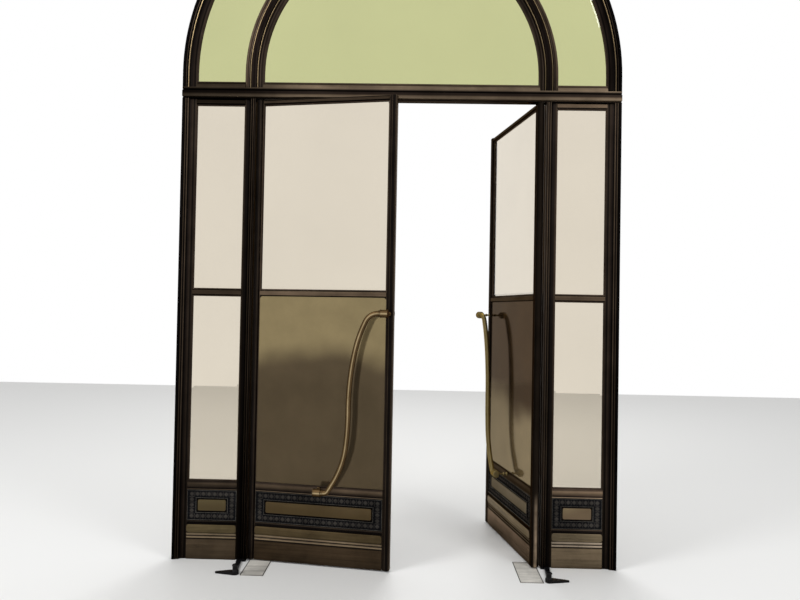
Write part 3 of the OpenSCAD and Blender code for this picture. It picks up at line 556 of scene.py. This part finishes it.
# Painted shade on the stiles: even on the left leaf, deeper towards the top on the right leaf, whose heel
# highlight is also stronger.
for side, painted_shade_levels, heel_highlight in (("left", [(0.0, 235), (2.9, 235)], 0.35),
                        ("right", [(0.0, 190), (0.6, 165), (2.0, 150), (2.9, 140)], 0.9)):
    heel_bronze = stile_bronze(side + " heel bronze", leaf_place(side), heel_tones, painted_shade_levels, heel_highlight)
    dress(side + "_leaf_hinge_stile", heel_bronze, section_arris)
    free_bronze = stile_bronze(side + " stile bronze", leaf_place(side), free_tones, painted_shade_levels)
    dress(side + "_leaf_free_stile", free_bronze, section_arris)

# Push plates: large polished brass sheets that fill the leaves between apron and mid rail.
# Rolled sheet is never quite flat, so its mirror runs in slow waves; a film of old polish dulls it.
sheet_arris = 0.0005
plate_low, plate_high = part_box("left_leaf_push_plate")


def plate_brass(name, high, low, shine, wave, reach, change=0.55, sway=1.1, film=0.0):
    """Sheet brass with a low and a high tone meeting along a wandering line; on the push plates the two
    tones are a painted reflection. reach is its lowest and highest Z, change the share of it where the tones
    meet, and sway how far that line wanders. shine is the mean roughness, wave the sheet's unevenness, and
    film how far it is dulled."""
    mat, tree = new_skin(name)
    shader = tree.nodes["Principled BSDF"]
    spot = add(tree, "TexCoord").outputs["Object"]
    slow = add(tree, "TexNoise", {"Vector": spot, "Scale": 1.5, "Detail": 2.0}).outputs["Fac"]
    clouds = add(tree, "TexNoise", {"Vector": spot, "Scale": 6.0, "Detail": 6.0, "Roughness": 0.6})
    clouds = clouds.outputs["Fac"]
    brushed = add(tree, "Mapping", {"Vector": spot, "Scale": (3, 3, 420)}).outputs[0]
    hair = add(tree, "TexNoise", {"Vector": brushed, "Scale": 1.0, "Detail": 3.0}).outputs["Fac"]
    drift = maths(tree, "MULTIPLY", maths(tree, "SUBTRACT", slow, 0.5), sway)
    share = maths(tree, "ADD", faded(tree, along_axis(tree, "Z"), *reach), drift)
    half_blend = 0.18 * sway
    meeting = {"Value": share, "From Min": change - half_blend, "From Max": change + half_blend}
    share = add(tree, "MapRange", meeting, interpolation_type="SMOOTHSTEP").outputs[0]
    body = blend_colours(tree, share, tone(*low), tone(*high))
    tint = add(tree, "MapRange", {"Value": clouds, "From Min": 0.3, "From Max": 0.7,
                                  "To Min": 0.90, "To Max": 1.08}).outputs[0]
    body = blend_colours(tree, 1.0, body, grey_of(tree, tint), "MULTIPLY")
    tree.links.new(body, shader.inputs["Base Color"])
    shader.inputs["Metallic"].default_value = 1.0 - film
    shader.inputs["Specular IOR Level"].default_value = 0.5 - film
    shader.inputs["Specular Tint"].default_value = tone(180, 178, 174)
    rough = maths(tree, "ADD", maths(tree, "MULTIPLY", clouds, 0.10), shine - 0.05)
    rough = maths(tree, "ADD", rough, maths(tree, "MULTIPLY", hair, 0.04))
    tree.links.new(rough, shader.inputs["Roughness"])
    relief = maths(tree, "ADD", slow, maths(tree, "MULTIPLY", hair, 0.0012))
    bump = add(tree, "Bump", {"Height": relief, "Strength": 1.0, "Distance": wave})
    tree.links.new(bump.outputs[0], shader.inputs["Normal"])
    return mat


# Each plate's two tones are a painted reflection: light above and dark below on the left leaf, the other way
# round on the right.
for side, high, low, change, film in (("left", (138, 123, 90), (86, 74, 56), 0.69, 0.4),
                                      ("right", (76, 58, 40), (150, 133, 103), 0.42, 0.22)):
    push_brass = plate_brass(side + " push plate brass", high, low, shine=0.08, wave=0.004,
                             reach=(plate_low.z, plate_high.z), change=change, sway=0.5, film=film)
    dress(side + "_leaf_push_plate", push_brass, sheet_arris)

# Corner pieces: small spandrels that round the push plates' upper corners on both faces.
# Cut from thin bronze sheet, left dark, and soldered on the plate.
corner_r = 0.018
corner_t = 0.0012
plate_face = own_box("left_leaf_push_plate", leaf_place("left"))[1].y
corner_bronze = plain_patina("corner bronze", (40, 33, 28), coat=0.34, streak=(20, 20, 20))


def spandrel(x, z, in_x, in_z, radius, inner, outer):
    """What is left between a square corner at (x, z) and a quarter circle in it, on both faces.
    in_x and in_z point into the plate; inner and outer are its depths from the plate's middle."""
    steps = 8
    outline = [(x, z)]
    for step in range(steps + 1):
        a = math.radians(90 * step / steps)
        outline.append((x + in_x * radius * (1 - math.sin(a)), z + in_z * radius * (1 - math.cos(a))))
    verts, faces, count = [], [], len(outline)
    for face in (-1, 1):
        first = len(verts)
        verts += [(px, face * depth, pz) for depth in (inner, outer) for px, pz in outline]
        front = tuple(first + count + k for k in range(count))
        outwards = face * in_x * in_z < 0
        faces.append(front if outwards else front[::-1])
        for k in range(count):
            n = (k + 1) % count
            wall = (first + k, first + n, first + count + n, first + count + k)
            faces.append(wall[::-1] if outwards else wall)
    return verts, faces


def joined(parts):
    """Several shapes as one."""
    verts, faces = [], []
    for part_verts, part_faces in parts:
        shift = len(verts)
        verts += part_verts
        faces += [tuple(i + shift for i in face) for face in part_faces]
    return verts, faces


plate_corners = joined([
    spandrel(x, plate_high.z, in_x, -1, corner_r, plate_face - close_fit, plate_face + corner_t)
    for x, in_x in ((leaf_x0, 1), (leaf_x1, -1))])
for side in ("left", "right"):
    corner_name = side + "_leaf_plate_corners"
    mesh_piece(corner_name, plate_corners, corner_bronze, side + "_leaf", leaf_place(side))

# Kick plates: heavier brass sheet at the foot of every bay, with a band and two thin beads over it.
# The foot is darker towards the floor; the two beads carry painted highlights, set a few millimetres below
# the solid beads.


def kick_brass(name, foot, band, bead, rise=1.0):
    """Brass of one bay's foot with painted highlights on the beads; rise is how much paler its plate gets
    towards the beads.
    """
    mat, tree = new_skin(name)
    low = scaled(foot, 0.72)
    half_highlight = scaled(bead, 0.55)
    under_band = scaled(band, 0.80)
    kick_tones = [
        (0, low), (18, scaled(foot, 0.86 / rise)), (70, foot), (119, scaled(foot, rise)), (123.5, low),
        (125.5, deep), (128.3, deep), (131, half_highlight), (133.5, bead), (140, bead), (142.5, half_highlight),
        (144.7, dim), (146.7, deep), (148.7, half_highlight), (151, bead), (156, bead), (159, half_highlight),
        (162, under_band), (165.5, under_band), (170, band), (208, band), (213.2, scaled(band, 1.2)),
        (214.5, black), (218, black)]
    kick_colour = bands(tree, along_axis(tree, "Z"), from_edge(0.0, kick_tones))
    patina(mat, kick_colour, coat=0.30, streak=(3.0, 3.0, 90))
    return mat


# Each bay's tones: the right bays lighter as painted light, and the bead colours are painted highlights,
# faint on the right leaf.
for name, foot, band, bead, rise in (
        ("left_side", (77, 65, 51), (88, 77, 55), (146, 128, 103), 1.0),
        ("left_leaf", (63, 51, 38), (80, 68, 48), (148, 129, 104), 1.0),
        ("right_leaf", (112, 96, 81), (137, 123, 100), (110, 96, 80), 1.22),
        ("right_side", (117, 102, 82), (105, 93, 74), (194, 176, 154), 1.0)):
    kick_skin = kick_brass(name.replace("_", " ") + " kick brass", foot, band, bead, rise)
    dress(name + "_kick", kick_skin, sheet_arris)

# Band corners: four small spandrels to a bay, that round off the brass band over the beads.
# Cut from the same dark sheet as the plate corners, and soldered on both faces.
band_low, band_high = 0.166, 0.214
band_corner_r = 0.014
band_inner, band_outer = 0.0205, 0.0219
bays = [("left_side", side_x0, side_x1, side_place("left"), "frame"),
        ("right_side", side_x0, side_x1, side_place("right"), "frame"),
        ("left_leaf", leaf_x0, leaf_x1, leaf_place("left"), "left_leaf"),
        ("right_leaf", leaf_x0, leaf_x1, leaf_place("right"), "right_leaf")]
for name, x0, x1, place, body in bays:
    band_corners = joined([
        spandrel(x, z, in_x, in_z, band_corner_r, band_inner, band_outer)
        for x, in_x in ((x0, 1), (x1, -1)) for z, in_z in ((band_low, 1), (band_high, -1))])
    mesh_piece(name + "_band_corners", band_corners, corner_bronze, body, place)

# Aprons: a rounded rail over a flat ground, with a bead above and below the ornament.
# One drawn bronze section a bay; the rail's face and the beads carry painted highlights, and the ground is
# black.
apron_tones = [
    (218, black), (229, deep), (231.5, flat), (235, light), (238.5, dim), (241, black), (427, black),
    (429.5, light), (433, bright), (437, deep), (439.5, deep), (445, brown), (460, rubbed_and_lit), (470, worn_and_lit),
    (478, light), (484, brown), (487, flat)]
# Each bay's factor is painted light: lighter on the right sidelight, darker on the left sidelight and the
# right leaf.
for name, painted_light in (("left_side", 0.72), ("right_side", 1.30), ("left_leaf", 1.0), ("right_leaf", 0.66)):
    apron_bronze, tree = new_skin(name.replace("_", " ") + " apron bronze")
    lit_apron_tones = [(mm, scaled(colour, painted_light)) for mm, colour in apron_tones]
    apron_colour = bands(tree, along_axis(tree, "Z"), from_edge(0.0, lit_apron_tones))
    patina(apron_bronze, apron_colour, streak=(2.0, 2.0, 70))
    dress(name + "_apron", apron_bronze, sheet_arris)

# Ornament: a cast bronze border round each centre plate, with a raised line along both its edges.
# The ground has gone black; the relief and the beaded lines are paler where cloths have rubbed them.
ornament_arris = 0.0004
cast_look = {"streak": (20, 20, 20), "grazing": (160, 156, 150)}
ornament_bronze = plain_patina("ornament bronze", (21, 21, 23), coat=0.40, **cast_look)
relief_bronze = plain_patina("ornament relief bronze", (56, 53, 50), coat=0.38, **cast_look)
line_bronze = plain_patina("ornament line bronze", (100, 97, 90), coat=0.34, streak=(20, 20, 20))
for name in ("left_side", "right_side", "left_leaf", "right_leaf"):
    dress(name + "_ornament", ornament_bronze, ornament_arris)

# Relief of the ornament: eight-petalled rosettes with a pair of leaves between each, all in low relief.
# Small beads run along both raised lines. It is cast in one with the border, on both faces.
line_w = 0.005
line_rise = 0.002
margin_w = 0.009
motif_pitch = 0.038
bead_pitch = 0.0072
ornament_low, ornament_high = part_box("left_side_ornament")
plate_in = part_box("left_side_centre")[0] - ornament_low
outer_line = line_w / 2
inner_line_x = plate_in.x - margin_w - line_w / 2
inner_line_z = plate_in.z - margin_w - line_w / 2
petal_outline = [(0.0, 0.0), (0.30, 0.42), (0.58, 0.50), (0.84, 0.30), (1.0, 0.0), (0.84, -0.30),
                 (0.58, -0.50), (0.30, -0.42)]
petal_rib = [(0.20, 0.55), (0.52, 1.0), (0.80, 0.60)]
petal_faces = [(0, 8, 1), (1, 8, 9, 2), (2, 9, 10, 3), (3, 10, 4), (4, 10, 5), (5, 10, 9, 6), (6, 9, 8, 7),
               (7, 8, 0)]


def petal(x, z, angle, length, width, rise):
    """A pointed petal with a raised rib, from (x, z) outwards; points are (across, rise, up)."""
    ca, sa = math.cos(angle), math.sin(angle)
    spots = [(u * length, v * width, 0.0) for u, v in petal_outline]
    spots += [(u * length, 0.0, h * rise) for u, h in petal_rib]
    return [(x + u * ca - v * sa, h, z + u * sa + v * ca) for u, v, h in spots], petal_faces


def button(x, z, radius, rise, sides=12):
    """A small domed button."""
    verts = [(x, rise, z)]
    for share, height in ((0.55, 0.80), (0.88, 0.45), (1.0, 0.0)):
        for k in range(sides):
            a = 2 * math.pi * k / sides
            verts.append((x + share * radius * math.cos(a), height * rise, z + share * radius * math.sin(a)))
    faces = [(0, 1 + k, 1 + (k + 1) % sides) for k in range(sides)]
    for base in (1, 1 + sides):
        faces += [(base + k, base + sides + k, base + sides + (k + 1) % sides, base + (k + 1) % sides)
                  for k in range(sides)]
    return verts, faces


def rosette(x, z):
    """Eight petals, long and short in turn, round a button."""
    parts = []
    for k in range(8):
        length = 0.0130 if k % 2 else 0.0150
        parts.append(petal(x, z, math.pi * k / 4, length, width=0.0095, rise=0.0019))
    return parts + [button(x, z, radius=0.0042, rise=0.0026)]


def spray(x, z, along):
    """Two leaves back to back across the border, with a bead at each tip."""
    reach = 0.0165
    parts = []
    for angle in (along + math.pi / 2, along - math.pi / 2):
        parts.append(petal(x, z, angle, length=0.0140, width=0.0065, rise=0.0016))
        tip_x, tip_z = x + reach * math.cos(angle), z + reach * math.sin(angle)
        parts.append(button(tip_x, tip_z, radius=0.0016, rise=0.0014, sides=8))
    return parts


def border_motifs(left, right, low, high):
    """Rosettes at the corners and at even steps along a rectangle, with sprays between them."""
    parts = []
    columns = round((right - left) / motif_pitch)
    rows = round((high - low) / motif_pitch)
    step = (right - left) / columns
    for i in range(columns + 1):
        for z in (low, high):
            parts += rosette(left + i * step, z)
            if i < columns:
                parts += spray(left + (i + 0.5) * step, z, 0.0)
    step = (high - low) / rows
    for i in range(rows):
        for x in (left, right):
            if i:
                parts += rosette(x, low + i * step)
            parts += spray(x, low + (i + 0.5) * step, math.pi / 2)
    return parts


def bead_row(x0, x1, z0, z1):
    """Small beads along a rectangle, one at every corner."""
    parts = []
    columns = round((x1 - x0) / bead_pitch)
    rows = round((z1 - z0) / bead_pitch)
    level = [(x0 + (x1 - x0) * i / columns, z) for z in (z0, z1) for i in range(columns + 1)]
    upright_rows = [(x, z0 + (z1 - z0) * i / rows) for x in (x0, x1) for i in range(1, rows)]
    for x, z in level + upright_rows:
        parts.append(button(x, z, radius=0.0021, rise=0.0016, sides=8))
    return parts


def both_faces(parts, depth):
    """The relief on the street face and, turned over, on the other."""
    verts, faces = joined(parts)
    front = [(x, -depth - h, z) for x, h, z in verts]
    back = [(x, depth + h, z) for x, h, z in verts]
    shift = len(verts)
    return front + back, faces + [tuple(i + shift for i in reversed(face)) for face in faces]


def frame_in(x0, x1, in_x, in_z):
    """The rectangle that lies in_x and in_z inside a bay's ornament."""
    return x0 + in_x, x1 - in_x, ornament_low.z + in_z, ornament_high.z - in_z


for name, x0, x1, place, body in bays:
    middle = frame_in(x0, x1, (outer_line + inner_line_x) / 2, (outer_line + inner_line_z) / 2)
    relief = both_faces(border_motifs(*middle), ornament_high.y - line_rise - close_fit)
    mesh_piece(name + "_relief", relief, relief_bronze, body, place)
    beads = bead_row(*frame_in(x0, x1, outer_line, outer_line))
    beads += bead_row(*frame_in(x0, x1, inner_line_x, inner_line_z))
    bead_rows = both_faces(beads, ornament_high.y - close_fit)
    mesh_piece(name + "_bead_rows", bead_rows, line_bronze, body, place)

# Centre plates: plain brass plates with round corners, let into the middle of the ornament.
# Cut from sheet four millimetres thick; each one has its own tone, paler in the right bays.
centre_arris = 0.0006
for name, look, high, low in (
        ("left_side_centre", "worn ", (96, 85, 60), (82, 71, 50)),
        ("left_leaf_centre", "dull ", (88, 74, 52), (78, 65, 44)),
        ("right_side_centre", "", (124, 109, 84), (110, 94, 74)),
        ("right_leaf_centre", "pale ", (122, 110, 92), (110, 99, 82))):
    centre_brass = plate_brass(look + "centre plate brass", high, low, shine=0.30, wave=0.0015,
                               reach=(0.25, 0.45))
    dress(name, centre_brass, centre_arris)

# Handles: long S-curved brass bars on turned spindles, screwed through the leaf in pairs.
# A painted highlight runs along the outside of the bar, and its sides are painted a darker brown as shade.
highlight_tone = (150, 129, 94)
brightest_highlight_tone = (192, 172, 134)


def hand_brass(name, place, flank, flank_worn):
    """Brass of a handle, with a painted highlight where its surface faces straight out of the leaf and
    darker sides.
    """
    mat, tree = new_skin(name)
    shader = tree.nodes["Principled BSDF"]
    coords = add(tree, "TexCoord").outputs
    spot = coords["Object"]
    clouds = add(tree, "TexNoise", {"Vector": spot, "Scale": 9.0, "Detail": 6.0, "Roughness": 0.62})
    clouds = clouds.outputs["Fac"]
    fine = add(tree, "TexNoise", {"Vector": spot, "Scale": 700.0, "Detail": 2.0})
    out_of_leaf = tuple(place.to_3x3().col[1])
    outward = add(tree, "VectorMath", {0: coords["Normal"], 1: out_of_leaf}, operation="DOT_PRODUCT")
    outward = maths(tree, "ABSOLUTE", outward.outputs["Value"])
    outward = maths(tree, "ADD", outward, maths(tree, "MULTIPLY", clouds, 0.03))
    painted_highlight = add(tree, "MapRange", {"Value": outward, "From Min": 0.965, "From Max": 1.025},
                 interpolation_type="SMOOTHSTEP").outputs[0]
    flank_tone = blend_colours(tree, clouds, tone(*flank), tone(*flank_worn))
    highlight_colour = blend_colours(tree, clouds, tone(*highlight_tone), tone(*brightest_highlight_tone))
    tree.links.new(blend_colours(tree, painted_highlight, flank_tone, highlight_colour), shader.inputs["Base Color"])
    shader.inputs["Metallic"].default_value = 1.0
    shader.inputs["Specular Tint"].default_value = tone(150, 128, 98)
    rough = maths(tree, "ADD", maths(tree, "MULTIPLY", clouds, 0.20), 0.36)
    rough = maths(tree, "SUBTRACT", rough, maths(tree, "MULTIPLY", painted_highlight, 0.30))
    tree.links.new(rough, shader.inputs["Roughness"])
    bump = add(tree, "Bump", {"Height": fine.outputs["Fac"], "Strength": 0.2, "Distance": 0.00005})
    tree.links.new(bump.outputs[0], shader.inputs["Normal"])
    return mat


# The right leaf's handles are painted lighter than the left's, as painted light.
for side, flank, flank_worn in (("left", (66, 50, 33), (102, 82, 54)),
                                ("right", (100, 88, 58), (146, 130, 90))):
    handle_brass = hand_brass(side + " handle brass", leaf_place(side), flank, flank_worn)
    for face in ("front", "back"):
        dress(side + "_leaf_" + face + "_handle", handle_brass)

# Floor pivot covers: pale satin metal plates let in over the pivots, with the pivot's pin.
# A dark joint of mastic runs around each plate, and four slotted screws hold it down.
cover_w = 0.138
cover_t = 0.002
joint_w = 0.0048
joint_in = 0.005
joint_top = 0.0024
screw_in = 0.013
screw_back = -0.120
cover_metal = plain_patina("pivot cover metal", (198, 195, 188), coat=0.55, streak=(4, 160, 160), metal=0.2,
                           grazing=(230, 230, 230))
dress("floor_pivots", cover_metal, sheet_arris)
mastic = plain_patina("dark mastic", (34, 32, 30), coat=0.60, streak=(60, 60, 60), metal=0.0)


def flat_ring(x0, x1, y0, y1, width, top):
    """A thin flat frame around a rectangle, from the floor up to its top."""
    verts = []
    for z in (0.0, top):
        for out in (0.0, width):
            verts += [(x0 - out, y0 - out, z), (x1 + out, y0 - out, z)]
            verts += [(x1 + out, y1 + out, z), (x0 - out, y1 + out, z)]
    faces = []
    for k in range(4):
        n = (k + 1) % 4
        faces += [(8 + k, 12 + k, 12 + n, 8 + n), (k, n, 4 + n, 4 + k)]
        faces += [(4 + k, 4 + n, 12 + n, 12 + k), (n, k, 8 + k, 8 + n)]
    return verts, faces


def slotted_screw(x, y, z, radius=0.0055, rise=0.0009, sunk=0.0002, slot_w=0.0014, sides=20):
    """A countersunk screw head in two halves, with the slot between them, standing a little proud."""
    turns = [math.pi * k / sides for k in range(sides + 1)]
    verts, faces = [], []
    for half in (1, -1):
        rim = [(x + radius * math.cos(a), y + half * max(radius * math.sin(a), slot_w / 2)) for a in turns]
        first, count = len(verts), len(rim)
        verts += [(px, py, height) for height in (z + rise, z - sunk) for px, py in rim]
        top = tuple(first + k for k in range(count))
        faces.append(top if half > 0 else top[::-1])
        for k in range(count):
            n = (k + 1) % count
            wall = (first + k, first + count + k, first + count + n, first + n)
            faces.append(wall if half > 0 else wall[::-1])
    return verts, faces


pivots_low, pivots_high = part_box("floor_pivots")
cover_x0 = pivots_low.x - centre_x
cover_x1 = cover_x0 + cover_w
cover_joint = flat_ring(cover_x0 + joint_in, cover_x1 - joint_in, pivots_low.y + joint_in,
                        pivots_high.y - joint_in, joint_w, joint_top)
cover_screws = joined([slotted_screw(x, y, cover_t) for x in (cover_x0 + screw_in, cover_x1 - screw_in)
                       for y in (pivots_low.y + screw_in, screw_back)])
for side in ("left", "right"):
    mesh_piece(side + "_cover_joint", cover_joint, mastic, "frame", side_place(side))
    mesh_piece(side + "_cover_screws", cover_screws, cover_metal, "frame", side_place(side))

# Foot stops: small black feet on the floor in front of the mullions, each on a post and an arm.
# Cast iron under black enamel, with well rounded edges.
foot_arris = 0.0012
foot_iron = plain_patina("black enamelled iron", (14, 14, 16), coat=0.28, streak=(30, 30, 30), metal=0.0)
foot_iron.node_tree.nodes["Principled BSDF"].inputs["Specular IOR Level"].default_value = 0.22
dress("foot_stops", foot_iron, foot_arris)
